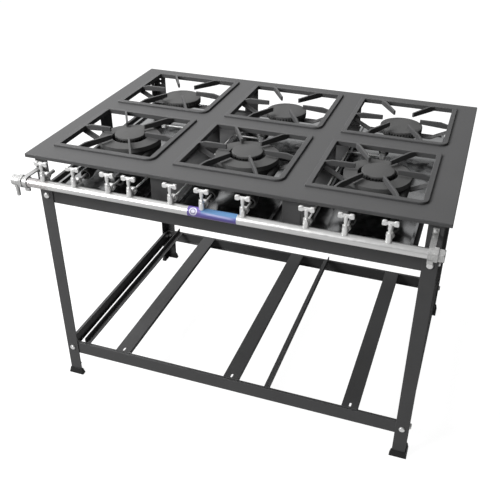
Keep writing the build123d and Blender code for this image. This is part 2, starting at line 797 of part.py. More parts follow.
def make_bracket(side):
    """Flat strap: a tab on the front leg, an arm forward to the rail, a loop round it and an ear below."""
    x = side * bracket_x
    half = bracket_width / 2
    outer = pipe_radius + bracket_wall
    bend = bracket_bolt_z - bracket_tab_margin
    outline = (
        (pipe_y, pipe_height),
        (pipe_y, pipe_height + outer),
        (bracket_face, bend),
        (bracket_face, bracket_bolt_z + bracket_tab_margin),
        (leg_front, bracket_bolt_z + bracket_tab_margin),
        (leg_front, bend - bracket_wall),
        (pipe_y + pipe_radius / 2, pipe_height + pipe_radius),
    )
    face = make_face(Polyline(*[(x, y, z) for y, z in outline], close=True))
    bracket = extrude(face, half, dir=(1, 0, 0), both=True)
    bracket += rod_x(pipe_y, pipe_height, x - half, x + half, outer)
    ear_y = bracket_ear_depth / 2
    ear_end = pipe_height - outer - bracket_ear
    bracket += block(x - half, x + half, pipe_y - ear_y, pipe_y + ear_y, ear_end, pipe_height)
    bracket -= rod_x(pipe_y, pipe_height, x - 2 * half, x + 2 * half, pipe_radius + socket_gap)
    return bracket - rod_y(side * bolt_x, bracket_bolt_z, pipe_y, leg_front, bolt_hole_radius)


ring_left = -bracket_x - bracket_width / 2
ring_right = bracket_x + bracket_width / 2
store("gas_rail", make_gas_rail())
store("gas_inlet_fitting", make_inlet())
store("rail_end_cap", make_end_cap())
store(
    "rail_lock_nuts",
    lock_nut(ring_left - lock_nut_length, ring_left),
    lock_nut(ring_right, ring_right + lock_nut_length),
)
store("rail_brackets", make_bracket(-1), make_bracket(1))

# Taps: body on the rail, turning plug with its two-lobed handle
plug_floor = outlet_z - plug_floor_drop
body_top = pipe_height + tap_body_rise
gland_top = body_top + tap_gland_height
handle_z = pipe_height + handle_rise


def make_tap_body(x):
    body = rod_z(x, pipe_y, pipe_height, body_top, tap_body_radius)
    body += rod_y(x, outlet_z, pipe_y, outlet_y, tap_boss_radius)
    body += Pos(x, pipe_y, (body_top + gland_top) / 2) * hexagon(tap_gland_flats, tap_gland_height)
    body -= rod_x(pipe_y, pipe_height, x - 20, x + 20, pipe_radius)
    spud_top = pipe_height + pipe_radius
    spud_end = spud_top - tap_spud_depth
    body += rod_z(x, pipe_y, spud_end, spud_top + 1, tap_spud_radius - socket_gap)
    body -= rod_z(x, pipe_y, plug_floor, gland_top, plug_radius + plug_gap)
    body -= rod_z(x, pipe_y, spud_end, plug_floor, tap_passage)
    return body - rod_y(x, outlet_z, pipe_y, outlet_y, tap_passage)


def make_handle(x):
    """Two-lobed handle on its stem; the plug's side port faces +X and meets the outlet at a quarter turn."""
    lobe_x = (handle_width - handle_lobe_length) / 2
    wings = Rectangle(2 * lobe_x, handle_bar_height)
    for side in (-1, 1):
        lobe = RectangleRounded(handle_lobe_length, handle_lobe_height, handle_lobe_corner)
        wings += Pos(side * lobe_x, 0) * lobe
    wings = extrude(Plane.XZ * wings, handle_thickness / 2, both=True)
    wings = fillet(wings.faces().filter_by(Axis.Y).edges(), handle_round)
    handle = Pos(x, pipe_y, handle_z) * wings
    hub_bottom = handle_z - handle_bar_height / 2 - handle_hub_height
    handle += rod_z(x, pipe_y, hub_bottom, handle_z, handle_hub_radius)
    handle += rod_z(x, pipe_y, plug_floor, handle_z, plug_radius)
    handle -= rod_z(x, pipe_y, plug_floor, outlet_z, tap_passage)
    return handle - rod_x(pipe_y, outlet_z, x, x + tap_body_radius, tap_passage)


store("tap_bodies", *[make_tap_body(x) for x in all_taps])
for number, x in enumerate(all_taps, start=1):
    store(f"tap_handle_{number:02d}", make_handle(x))


# Injectors, the long feed pipes of the rear burners and the oven's hose tail
def make_injector(x, seat_y, tip_y):
    hex_end = seat_y + injector_hex
    injector = hex_y(x, outlet_z, seat_y, hex_end, injector_flats)
    injector += rod_y(x, outlet_z, hex_end, tip_y, injector_radius)
    return injector - rod_y(x, outlet_z, seat_y, tip_y, injector_bore)


def make_elbow(x, side, tip_y):
    """Square elbow behind a rear mixing tube's mouth: fed from one side, with its nozzle towards +Y."""
    half = elbow_width / 2
    y0, y1 = elbow_y - half, elbow_y + half
    elbow = block(x - half, x + half, y0, y1, outlet_z - elbow_drop, outlet_z + elbow_rise)
    elbow = chamfer(elbow.edges(), elbow_width / 10)
    elbow += hex_y(x, outlet_z, y1, y1 + injector_hex, injector_flats)
    elbow += rod_y(x, outlet_z, y1, tip_y, injector_radius)
    elbow -= rod_x(elbow_y, outlet_z - feed_fall, x, x + side * elbow_width, feed_bore)
    elbow -= rod_z(x, elbow_y, outlet_z - feed_fall, outlet_z, injector_bore)
    return elbow - rod_y(x, outlet_z, elbow_y, tip_y, injector_bore)


def make_feed_pipe(x, tube_x, side):
    """Thin pipe that falls a little towards the back, under the hangers, then turns into its elbow."""
    pipe = hex_y(x, outlet_z, outlet_y, outlet_y + injector_hex, hose_nut_flats)
    route = FilletPolyline(
        (x, outlet_y, outlet_z),
        (x, elbow_y, outlet_z - feed_fall),
        (tube_x + side * elbow_width / 2, elbow_y, outlet_z - feed_fall),
        radius=feed_bend,
    )
    start = Plane(origin=(x, outlet_y, outlet_z), z_dir=(0, 1, 0))
    pipe += sweep(start * Circle(feed_radius), path=route)
    return pipe - sweep(start * Circle(feed_bore), path=route)


def make_oven_tail(x):
    nut_end = outlet_y + injector_hex
    tail = hex_y(x, outlet_z, outlet_y, nut_end, hose_nut_flats)
    tail += rod_y(x, outlet_z, nut_end, nut_end + hose_length, hose_radius)
    return tail - rod_y(x, outlet_z, outlet_y, nut_end + hose_length, hose_bore)


elbow_y = rear_mouth - injector_hex - elbow_width / 2 - injector_entry
injectors = [make_injector(x, outlet_y, front_mouth + injector_entry) for x in inner_taps + outer_taps]
injectors += [make_elbow(x, side, rear_mouth + injector_entry) for x, side in zip(rear_tubes, rear_sides)]
store("injectors", *injectors)
store("rear_feed_pipes", *[make_feed_pipe(*run) for run in zip(rear_taps, rear_tubes, rear_sides)])
store("oven_hose_tail", make_oven_tail(oven_tap_x))

# Move the stove so that its box stands centred on the origin, then write one file for each node
everything = Compound([piece for pieces in nodes.values() for piece in pieces]).bounding_box()
centre = Pos(-(everything.min.X + everything.max.X) / 2, -(everything.min.Y + everything.max.Y) / 2, 0)
print(f"origin shift {centre.position.X:.4f} {centre.position.Y:.4f}")
os.makedirs("parts", exist_ok=True)
for name, pieces in nodes.items():
    moved = [centre * piece for piece in pieces]
    export_step(moved[0] if len(moved) == 1 else Compound(moved), f"parts/{name}.step")
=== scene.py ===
import bpy
import json
from math import cos, radians, sin
from mathutils import Matrix, Vector


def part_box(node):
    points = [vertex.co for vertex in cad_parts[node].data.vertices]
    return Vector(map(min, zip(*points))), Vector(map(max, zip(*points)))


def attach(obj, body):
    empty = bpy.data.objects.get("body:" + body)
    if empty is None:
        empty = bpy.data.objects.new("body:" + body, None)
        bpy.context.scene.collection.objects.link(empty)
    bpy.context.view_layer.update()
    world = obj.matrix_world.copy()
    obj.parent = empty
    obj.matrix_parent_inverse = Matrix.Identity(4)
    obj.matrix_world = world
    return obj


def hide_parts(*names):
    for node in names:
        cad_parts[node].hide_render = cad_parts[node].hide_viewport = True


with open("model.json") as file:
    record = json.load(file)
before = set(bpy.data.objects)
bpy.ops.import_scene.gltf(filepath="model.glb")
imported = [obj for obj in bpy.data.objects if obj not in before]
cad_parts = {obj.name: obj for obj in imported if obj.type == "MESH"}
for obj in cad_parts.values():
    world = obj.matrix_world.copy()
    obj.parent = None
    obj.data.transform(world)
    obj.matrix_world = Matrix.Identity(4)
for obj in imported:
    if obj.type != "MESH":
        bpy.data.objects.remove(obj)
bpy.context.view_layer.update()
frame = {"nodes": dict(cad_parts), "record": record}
bpy.ops.object.select_all(action="DESELECT")


# Camera: a 50 mm lens held above the front right corner of the stove,
# looking down on the hob at about thirty degrees.
camera_data = bpy.data.cameras.new("camera")
camera_data.lens = 49.99
camera_data.sensor_width = 36.0
camera = bpy.data.objects.new("camera", camera_data)
camera.location = (0.579452, -1.771515, 1.575053)
camera.rotation_euler = (radians(57.575), radians(-0.201), radians(19.33))
bpy.context.scene.collection.objects.link(camera)
bpy.context.scene.camera = camera
bpy.context.scene.view_settings.view_transform = "Standard"


# Studio: a plain pale floor in a white room, a large soft lamp high at the front left, a
# weaker one in the same place that metal does not mirror, and one more above; the
# right-hand sides of the pieces stay dark.
def add_node(tree, kind, inputs=None, **settings):
    """One shader node with its settings and the values of its unlinked sockets."""
    made = tree.nodes.new(kind)
    for name, value in settings.items():
        setattr(made, name, value)
    for name, value in (inputs or {}).items():
        made.inputs[name].default_value = value
    return made


def by_ray(tree, plain, mirrored, white):
    """Mixes three shaders: white for rays from the camera or through glass, mirrored for those
    that come off metal or gloss, plain for the soft light on everything else."""
    path = add_node(tree, "ShaderNodeLightPath")
    direct = add_node(tree, "ShaderNodeMath", operation="MAXIMUM")
    bounced = add_node(tree, "ShaderNodeMixShader")
    mixed = add_node(tree, "ShaderNodeMixShader")
    tree.links.new(path.outputs["Is Camera Ray"], direct.inputs[0])
    tree.links.new(path.outputs["Is Transmission Ray"], direct.inputs[1])
    tree.links.new(path.outputs["Is Glossy Ray"], bounced.inputs[0])
    tree.links.new(plain.outputs[0], bounced.inputs[1])
    tree.links.new(mirrored.outputs[0], bounced.inputs[2])
    tree.links.new(direct.outputs[0], mixed.inputs[0])
    tree.links.new(bounced.outputs[0], mixed.inputs[1])
    tree.links.new(white.outputs[0], mixed.inputs[2])
    return mixed.outputs[0]


def slope(tree, low, high, start=0.0, finish=1.0):
    """A value that runs from start to finish while its input runs from low to high."""
    return add_node(
        tree, "ShaderNodeMapRange",
        {"From Min": low, "From Max": high, "To Min": start, "To Max": finish},
    )


bpy.ops.mesh.primitive_plane_add(size=60.0, location=(0, 0, 0))
floor = bpy.context.object
floor.name = "floor"
paper = bpy.data.materials.new("floor_paper")
paper.use_nodes = True
tree = paper.node_tree
tree.nodes.clear()
lit_paper = add_node(tree, "ShaderNodeBsdfDiffuse", {"Color": (0.22, 0.22, 0.22, 1)})
glow = add_node(tree, "ShaderNodeEmission", {"Color": (1, 1, 1, 1), "Strength": 0.95})
shine = add_node(tree, "ShaderNodeEmission", {"Color": (1, 1, 1, 1)})
both = add_node(tree, "ShaderNodeAddShader")
place = add_node(tree, "ShaderNodeNewGeometry")
split = add_node(tree, "ShaderNodeSeparateXYZ")
nearer = slope(tree, -0.4, 0.3, 0.7, 0.04)
sheet = add_node(tree, "ShaderNodeOutputMaterial")
tree.links.new(lit_paper.outputs[0], both.inputs[0])
tree.links.new(glow.outputs[0], both.inputs[1])
tree.links.new(place.outputs["Position"], split.inputs[0])
tree.links.new(split.outputs["Y"], nearer.inputs["Value"])
tree.links.new(nearer.outputs["Result"], shine.inputs["Strength"])
tree.links.new(by_ray(tree, lit_paper, shine, both), sheet.inputs["Surface"])
floor.data.materials.append(paper)

room = bpy.data.worlds.new("white_room")
bpy.context.scene.world = room
room.use_nodes = True
tree = room.node_tree
tree.nodes.clear()
dim_wall = add_node(tree, "ShaderNodeBackground", {"Color": (1, 1, 1, 1)})
mirror_wall = add_node(tree, "ShaderNodeBackground", {"Color": (1, 1, 1, 1)})
white_wall = add_node(tree, "ShaderNodeBackground", {"Color": (1, 1, 1, 1), "Strength": 1.0})
sky = add_node(tree, "ShaderNodeOutputWorld")
look = add_node(tree, "ShaderNodeTexCoord")
split = add_node(tree, "ShaderNodeSeparateXYZ")
shade = slope(tree, -0.7, 0.3, 0.5, 0.12)
falloff = slope(tree, -0.5, 0.4, 1.0, 0.12)
overhead = slope(tree, 0.0, 0.6, 0.4, 1.0)
behind = slope(tree, -0.2, 0.4, 0.0, 1.0)
higher = add_node(tree, "ShaderNodeMath", operation="MAXIMUM")
dimmed = add_node(tree, "ShaderNodeMath", operation="MULTIPLY")
tree.links.new(look.outputs["Generated"], split.inputs[0])
tree.links.new(split.outputs["X"], shade.inputs["Value"])
tree.links.new(split.outputs["X"], falloff.inputs["Value"])
tree.links.new(split.outputs["Y"], behind.inputs["Value"])
tree.links.new(split.outputs["Z"], overhead.inputs["Value"])
tree.links.new(overhead.outputs["Result"], higher.inputs[0])
tree.links.new(behind.outputs["Result"], higher.inputs[1])
tree.links.new(higher.outputs[0], dimmed.inputs[0])
tree.links.new(falloff.outputs["Result"], dimmed.inputs[1])
tree.links.new(shade.outputs["Result"], dim_wall.inputs["Strength"])
tree.links.new(dimmed.outputs[0], mirror_wall.inputs["Strength"])
tree.links.new(by_ray(tree, dim_wall, mirror_wall, white_wall), sky.inputs["Surface"])


def softbox(name, place, aim, size, power):
    """A round area lamp at a place, turned towards the point that it lights."""
    lamp = bpy.data.lights.new(name, "AREA")
    lamp.shape = "DISK"
    lamp.size = size
    lamp.energy = power
    holder = bpy.data.objects.new(name, lamp)
    holder.location = place
    holder.rotation_euler = (Vector(aim) - Vector(place)).to_track_quat("-Z", "Y").to_euler()
    bpy.context.scene.collection.objects.link(holder)
    return holder


front_left, stove_middle = (-2.1, -2.8, 2.5), (0, 0, 0.6)
softbox("key_lamp", front_left, stove_middle, size=1.4, power=96)
fill_lamp = softbox("fill_lamp", front_left, stove_middle, size=1.4, power=22)
top_lamp = softbox("top_lamp", (-1.6, 0.1, 3.0), (0, 0, 0.7), size=1.8, power=96)
for unmirrored in (fill_lamp, top_lamp):
    unmirrored.visible_glossy = False


# Legs: four lengths of 38 mm angle iron, punched for the rail bolts and powder-coated
# black; the coat has a fine orange peel, and a painted highlight runs along the corners.
body_of = {
    node: body for body, parts in frame["record"]["behaviour"]["bodies"].items() for node in parts
}
sharp_edge, rounded_edge = radians(40), radians(60)
flat_fold = radians(0.5)
shortest_edge, weld_gap = 0.006, 0.00002


def eased(node, finish, width=0.0, where=None):
    """The solid of one node in its finish, with its long sharp edges rounded over by a width."""
    mesh = frame["nodes"][node].data.copy()
    mesh.materials.clear()
    mesh.materials.append(finish)
    piece = bpy.data.objects.new(node + "_piece", mesh)
    bpy.context.scene.collection.objects.link(piece)
    bpy.ops.object.select_all(action="DESELECT")
    piece.select_set(True)
    bpy.context.view_layer.objects.active = piece
    bpy.ops.mesh.customdata_custom_splitnormals_clear()
    bpy.ops.object.mode_set(mode="EDIT")
    bpy.ops.mesh.select_mode(type="EDGE")
    bpy.ops.mesh.select_all(action="SELECT")
    bpy.ops.mesh.remove_doubles(threshold=weld_gap)
    if width:
        bpy.ops.mesh.dissolve_limited(angle_limit=flat_fold)
        bpy.ops.mesh.select_all(action="DESELECT")
        bpy.ops.mesh.edges_select_sharp(sharpness=sharp_edge)
        bpy.ops.object.mode_set(mode="OBJECT")
        for edge in mesh.edges:
            a, b = (mesh.vertices[i].co for i in edge.vertices)
            if (a - b).length < shortest_edge or (where and not where((a + b) / 2)):
                edge.select = False
        bpy.ops.object.mode_set(mode="EDIT")
        bpy.ops.mesh.bevel(offset=width, segments=2, affect="EDGES", clamp_overlap=False)
    bpy.ops.object.mode_set(mode="OBJECT")
    bpy.ops.object.shade_smooth_by_angle(angle=rounded_edge if width else sharp_edge)
    if width:
        even = piece.modifiers.new("even_normals", "WEIGHTED_NORMAL")
        even.keep_sharp = True
        bpy.ops.object.modifier_apply(modifier=even.name)
    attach(piece, body_of[node])
    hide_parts(node)


def new_group(name, inputs, outputs):
    """An empty shader group with named sockets, and its two end nodes."""
    group = bpy.data.node_groups.new(name, "ShaderNodeTree")
    for label, kind, value in inputs:
        group.interface.new_socket(label, in_out="INPUT", socket_type=kind).default_value = value
    for label, kind in outputs:
        group.interface.new_socket(label, in_out="OUTPUT", socket_type=kind)
    return group, add_node(group, "NodeGroupInput"), add_node(group, "NodeGroupOutput")


coat_grain, start, end = new_group(
    "coat_grain",
    [("Peel", "NodeSocketFloat", 420.0), ("Cloud", "NodeSocketFloat", 9.0)],
    [("Height", "NodeSocketFloat"), ("Tone", "NodeSocketFloat")],
)
spot = add_node(coat_grain, "ShaderNodeTexCoord")
peel = add_node(coat_grain, "ShaderNodeTexNoise", {"Detail": 2.0, "Roughness": 0.5})
cloud = add_node(coat_grain, "ShaderNodeTexNoise", {"Detail": 5.0, "Roughness": 0.6})
spread = slope(coat_grain, 0.3, 0.7)
coat_grain.links.new(spot.outputs["Object"], peel.inputs["Vector"])
coat_grain.links.new(spot.outputs["Object"], cloud.inputs["Vector"])
coat_grain.links.new(start.outputs["Peel"], peel.inputs["Scale"])
coat_grain.links.new(start.outputs["Cloud"], cloud.inputs["Scale"])
coat_grain.links.new(cloud.outputs["Fac"], spread.inputs["Value"])
coat_grain.links.new(peel.outputs["Fac"], end.inputs["Height"])
coat_grain.links.new(spread.outputs["Result"], end.inputs["Tone"])

# Edge highlight: a mask for a painted highlight where the rounded normal turns from the face, broken up
# in patches; its Normal also rounds the edges in the shading.
rounded_edge_highlight, start, end = new_group(
    "rounded_edge_highlight",
    [("Radius", "NodeSocketFloat", 0.0015), ("Amount", "NodeSocketFloat", 1.0)],
    [("Mask", "NodeSocketFloat"), ("Normal", "NodeSocketVector")],
)
rounded = add_node(rounded_edge_highlight, "ShaderNodeBevel", samples=6)
plain = add_node(rounded_edge_highlight, "ShaderNodeNewGeometry")
turn = add_node(rounded_edge_highlight, "ShaderNodeVectorMath", operation="DOT_PRODUCT")
bend = slope(rounded_edge_highlight, 0.995, 0.86)
spot = add_node(rounded_edge_highlight, "ShaderNodeTexCoord")
patch = add_node(rounded_edge_highlight, "ShaderNodeTexNoise", {"Scale": 60.0, "Detail": 4.0, "Roughness": 0.65})
gaps = slope(rounded_edge_highlight, 0.35, 0.65)
highlighted = add_node(rounded_edge_highlight, "ShaderNodeMath", operation="MULTIPLY")
scaled = add_node(rounded_edge_highlight, "ShaderNodeMath", operation="MULTIPLY")
rounded_edge_highlight.links.new(start.outputs["Radius"], rounded.inputs["Radius"])
rounded_edge_highlight.links.new(rounded.outputs["Normal"], turn.inputs[0])
rounded_edge_highlight.links.new(plain.outputs["True Normal"], turn.inputs[1])
rounded_edge_highlight.links.new(turn.outputs["Value"], bend.inputs["Value"])
rounded_edge_highlight.links.new(spot.outputs["Object"], patch.inputs["Vector"])
rounded_edge_highlight.links.new(patch.outputs["Fac"], gaps.inputs["Value"])
rounded_edge_highlight.links.new(bend.outputs["Result"], highlighted.inputs[0])
rounded_edge_highlight.links.new(gaps.outputs["Result"], highlighted.inputs[1])
rounded_edge_highlight.links.new(highlighted.outputs[0], scaled.inputs[0])
rounded_edge_highlight.links.new(start.outputs["Amount"], scaled.inputs[1])
rounded_edge_highlight.links.new(scaled.outputs[0], end.inputs["Mask"])
rounded_edge_highlight.links.new(rounded.outputs["Normal"], end.inputs["Normal"])


# Sockets of a Mix node that mixes colours
first_colour, second_colour, mixed_colour = 6, 7, 2


def coated(name, dark, light, highlight_grey, rough, peel_size, peel_depth, highlight_amount):
    """A black coat: cloudy tone between two greys, a painted highlight along the edges, peel in the
    bump.
    """
    made = bpy.data.materials.new(name)
    made.use_nodes = True
    tree = made.node_tree
    shader = tree.nodes["Principled BSDF"]
    shader.inputs["Specular IOR Level"].default_value = 0.3
    grain = add_node(tree, "ShaderNodeGroup", node_tree=coat_grain)
    grain.inputs["Peel"].default_value = peel_size
    edge = add_node(tree, "ShaderNodeGroup", node_tree=rounded_edge_highlight)
    edge.inputs["Amount"].default_value = highlight_amount
    tone = add_node(tree, "ShaderNodeMix", data_type="RGBA")
    tone.inputs[first_colour].default_value = (*dark, 1)
    tone.inputs[second_colour].default_value = (*light, 1)
    # The edge mask mixes in a lighter grey: a painted highlight along the edges.
    highlighted = add_node(tree, "ShaderNodeMix", data_type="RGBA")
    highlighted.inputs[second_colour].default_value = (*highlight_grey, 1)
    gloss = slope(tree, 0.0, 1.0, *rough)
    bump = add_node(tree, "ShaderNodeBump", {"Strength": 0.6, "Distance": peel_depth})
    tree.links.new(grain.outputs["Tone"], tone.inputs[0])
    tree.links.new(tone.outputs[mixed_colour], highlighted.inputs[first_colour])
    tree.links.new(edge.outputs["Mask"], highlighted.inputs[0])
    tree.links.new(highlighted.outputs[mixed_colour], shader.inputs["Base Color"])
    tree.links.new(grain.outputs["Tone"], gloss.inputs["Value"])
    tree.links.new(gloss.outputs["Result"], shader.inputs["Roughness"])
    tree.links.new(grain.outputs["Height"], bump.inputs["Height"])
    tree.links.new(edge.outputs["Normal"], bump.inputs["Normal"])
    tree.links.new(bump.outputs["Normal"], shader.inputs["Normal"])
    return made


stand_coat = coated(
    "stand_coat", dark=(0.059, 0.059, 0.060), light=(0.072, 0.072, 0.073), highlight_grey=(0.18, 0.18, 0.18),
    rough=(0.44, 0.54), peel_size=420.0, peel_depth=0.0002, highlight_amount=0.8,
)
for corner in ("front_left", "front_right", "back_left", "back_right"):
    eased("leg_" + corner, stand_coat, width=0.0009)


# Feet: four moulded black plastic boots pushed over the leg ends, flared at the floor;
# the plastic is matt with a fine spark-eroded grain.
boot_plastic = coated(
    "boot_plastic", dark=(0.012, 0.012, 0.012), light=(0.018, 0.018, 0.018), highlight_grey=(0.035, 0.035, 0.035),
    rough=(0.5, 0.62), peel_size=900.0, peel_depth=0.00012, highlight_amount=0.4,
)
eased("feet", boot_plastic, width=0.0012)


# Rails, posts and bearers: folded channels of 3 mm sheet that tie the legs at two heights,
# flat posts up to the plate and flat bearers under the trays, coated like the legs.
for node in (
    "upper_front_rail", "upper_back_rail", "upper_side_rails",
    "lower_front_rail", "lower_back_rail", "lower_side_rails",
    "plate_posts", "side_posts", "tray_bearers",
):
    eased(node, stand_coat, width=0.0013)


# Bottom rack: three slats of thin sheet with both long edges folded down, and the two
# angles for an oven, laid on the lower rails and coated like the stand.
for node in ("shelf_slat_left", "shelf_slat_middle", "shelf_slat_right"):
    eased(node, stand_coat, width=0.0006)
eased("oven_runners", stand_coat, width=0.0006)


# Bolts and nuts: zinc-plated domed bolts through every leg and rail, with hexagon nuts
# inside; the plating is bright and a little uneven.
drawn_streaks, start, end = new_group(
    "drawn_streaks",
    [("Stretch", "NodeSocketVector", (1.0, 1.0, 1.0))],
    [("Streak", "NodeSocketFloat"), ("Blotch", "NodeSocketFloat")],
)
spot = add_node(drawn_streaks, "ShaderNodeTexCoord")
pulled = add_node(drawn_streaks, "ShaderNodeVectorMath", operation="MULTIPLY")
lines = add_node(drawn_streaks, "ShaderNodeTexNoise", {"Scale": 1.0, "Detail": 6.0, "Roughness": 0.6})
blotch = add_node(drawn_streaks, "ShaderNodeTexNoise", {"Scale": 70.0, "Detail": 4.0, "Roughness": 0.6})
drawn_streaks.links.new(spot.outputs["Object"], pulled.inputs[0])
drawn_streaks.links.new(start.outputs["Stretch"], pulled.inputs[1])
drawn_streaks.links.new(pulled.outputs["Vector"], lines.inputs["Vector"])
drawn_streaks.links.new(spot.outputs["Object"], blotch.inputs["Vector"])
drawn_streaks.links.new(lines.outputs["Fac"], end.inputs["Streak"])
drawn_streaks.links.new(blotch.outputs["Fac"], end.inputs["Blotch"])


def bright_metal(name, dull, bright, rough, stretch, lines_depth, metallic=1.0):
    """Bare or plated metal: streaks along one direction and soft blotches."""
    made = bpy.data.materials.new(name)
    made.use_nodes = True
    tree = made.node_tree
    shader = tree.nodes["Principled BSDF"]
    shader.inputs["Metallic"].default_value = metallic
    drawn = add_node(tree, "ShaderNodeGroup", node_tree=drawn_streaks)
    drawn.inputs["Stretch"].default_value = stretch
    edge = add_node(tree, "ShaderNodeGroup", node_tree=rounded_edge_highlight)
    edge.inputs["Radius"].default_value = 0.0008
    span = slope(tree, 0.3, 0.7)
    tone = add_node(tree, "ShaderNodeMix", data_type="RGBA")
    tone.inputs[first_colour].default_value = (*dull, 1)
    tone.inputs[second_colour].default_value = (*bright, 1)
    gloss = slope(tree, 0.3, 0.7, *rough)
    bump = add_node(tree, "ShaderNodeBump", {"Strength": 0.5, "Distance": lines_depth})
    tree.links.new(drawn.outputs["Streak"], span.inputs["Value"])
    tree.links.new(span.outputs["Result"], tone.inputs[0])
    tree.links.new(tone.outputs[mixed_colour], shader.inputs["Base Color"])
    tree.links.new(drawn.outputs["Blotch"], gloss.inputs["Value"])
    tree.links.new(gloss.outputs["Result"], shader.inputs["Roughness"])
    tree.links.new(drawn.outputs["Streak"], bump.inputs["Height"])
    tree.links.new(edge.outputs["Normal"], bump.inputs["Normal"])
    tree.links.new(bump.outputs["Normal"], shader.inputs["Normal"])
    return made


zinc_plate = bright_metal(
    "zinc_plate", dull=(0.7, 0.7, 0.7), bright=(0.9, 0.9, 0.89), rough=(0.3, 0.46),
    stretch=(300.0, 300.0, 120.0), lines_depth=0.00005, metallic=0.75,
)
for node in ("frame_bolts", "frame_nuts"):
    eased(node, zinc_plate)


# Drip trays: three shallow pans folded from thin galvanised sheet, laid loose on the
# bearers; the sheet is nearly a mirror, slightly wavy, with the grain of the zinc.
galvanised = bpy.data.materials.new("galvanised_sheet")
galvanised.use_nodes = True
tree = galvanised.node_tree
shader = tree.nodes["Principled BSDF"]
shader.inputs["Metallic"].default_value = 1.0
spot = add_node(tree, "ShaderNodeTexCoord")
spangle = add_node(tree, "ShaderNodeTexVoronoi", {"Scale": 70.0, "Randomness": 1.0})
grey = add_node(tree, "ShaderNodeRGBToBW")
tone = add_node(tree, "ShaderNodeMix", data_type="RGBA")
tone.inputs[first_colour].default_value = (0.3, 0.305, 0.31, 1)
tone.inputs[second_colour].default_value = (0.44, 0.445, 0.45, 1)
gloss = slope(tree, 0.0, 1.0, 0.1, 0.22)
waves = add_node(tree, "ShaderNodeTexNoise", {"Scale": 11.0, "Detail": 1.0})
bump = add_node(tree, "ShaderNodeBump", {"Strength": 0.5, "Distance": 0.0012})
tree.links.new(spot.outputs["Object"], spangle.inputs["Vector"])
tree.links.new(spangle.outputs["Color"], grey.inputs["Color"])
tree.links.new(grey.outputs["Val"], tone.inputs[0])
tree.links.new(tone.outputs[mixed_colour], shader.inputs["Base Color"])
tree.links.new(grey.outputs["Val"], gloss.inputs["Value"])
tree.links.new(gloss.outputs["Result"], shader.inputs["Roughness"])
tree.links.new(spot.outputs["Object"], waves.inputs["Vector"])
tree.links.new(waves.outputs["Fac"], bump.inputs["Height"])
tree.links.new(bump.outputs["Normal"], shader.inputs["Normal"])
bays = ("left", "middle", "right")
for bay in bays:
    eased("drip_tray_" + bay, galvanised, width=0.0004)


# Burners: cast-iron bowls and rings with long mixing tubes, on flat bars hung under the
# plate; the castings are left black with a sandy skin and their caps are painted, the
# inner ones darkened by painted shade over their lowest few millimetres, at the flame slots.
eased("burner_hangers", stand_coat, width=0.0008)
burner_paint = coated(
    "burner_paint", dark=(0.070, 0.070, 0.070), light=(0.088, 0.088, 0.087), highlight_grey=(0.15, 0.15, 0.15),
    rough=(0.52, 0.66), peel_size=260.0, peel_depth=0.0006, highlight_amount=0.5,
)
raw_casting = coated(
    "raw_casting", dark=(0.018, 0.018, 0.018), light=(0.034, 0.034, 0.034), highlight_grey=(0.06, 0.06, 0.06),
    rough=(0.56, 0.7), peel_size=240.0, peel_depth=0.0007, highlight_amount=0.4,
)
rows = ("front", "rear")
for row in rows:
    for bay in bays:
        eased(f"{row}_burner_{bay}", raw_casting)
for node in ("ring_burner_caps", "rear_burner_caps"):
    eased(node, burner_paint)
# Painted shade: the inner caps' colour darkens towards their lowest edge, where the gap to the ring
# lies in shade.
slot_shaded_paint = burner_paint.copy()
slot_shaded_paint.name = "slot_shaded_paint"
slot_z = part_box("inner_burner_caps")[0][2]
full_shade_line, shade_end_line = slot_z + 0.004, slot_z + 0.008
tree = slot_shaded_paint.node_tree
shader = tree.nodes["Principled BSDF"]
unshaded_colour = shader.inputs["Base Color"].links[0].from_socket
painted_shade_mix = add_node(tree, "ShaderNodeMix", data_type="RGBA")
painted_shade_mix.inputs[second_colour].default_value = (0.012, 0.012, 0.012, 1)
spot = add_node(tree, "ShaderNodeTexCoord")
split = add_node(tree, "ShaderNodeSeparateXYZ")
shade_band = slope(tree, full_shade_line, shade_end_line, 0.9, 0.0)
tree.links.new(spot.outputs["Object"], split.inputs[0])
tree.links.new(split.outputs["Z"], shade_band.inputs["Value"])
tree.links.new(shade_band.outputs["Result"], painted_shade_mix.inputs[0])
tree.links.new(unshaded_colour, painted_shade_mix.inputs[first_colour])
tree.links.new(painted_shade_mix.outputs[mixed_colour], shader.inputs["Base Color"])
eased("inner_burner_caps", slot_shaded_paint)


# Hob plate: one folded sheet with a turned-down lip and six square openings, coated
# satin black; the fold catches the light along its whole length, and a strong painted highlight lies
# along it and the other edges.
plate_coat = coated(
    "plate_coat", dark=(0.070, 0.070, 0.071), light=(0.080, 0.080, 0.081), highlight_grey=(0.2, 0.2, 0.2),
    rough=(0.42, 0.5), peel_size=420.0, peel_depth=0.0002, highlight_amount=0.9,
)
plate_low, plate_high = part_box("hob_plate")
rim_width = 0.005


def on_lip(point):
    """Whether a point lies on the turned-down rim of the plate, and not at an opening."""
    inset = min(
        point.x - plate_low[0], plate_high[0] - point.x, point.y - plate_low[1], plate_high[1] - point.y
    )
    return inset < rim_width


eased("hob_plate", plate_coat, width=0.0011, where=on_lip)


# Grates: six loose square castings, each with six fingers that rise towards the pot,
# painted black, with a painted highlight along the edges.
grate_paint = coated(
    "grate_paint", dark=(0.066, 0.066, 0.067), light=(0.080, 0.080, 0.081), highlight_grey=(0.15, 0.15, 0.15),
    rough=(0.4, 0.5), peel_size=300.0, peel_depth=0.0005, highlight_amount=0.6,
)
for row in rows:
    for bay in bays:
        eased(f"grate_{row}_{bay}", grate_paint)


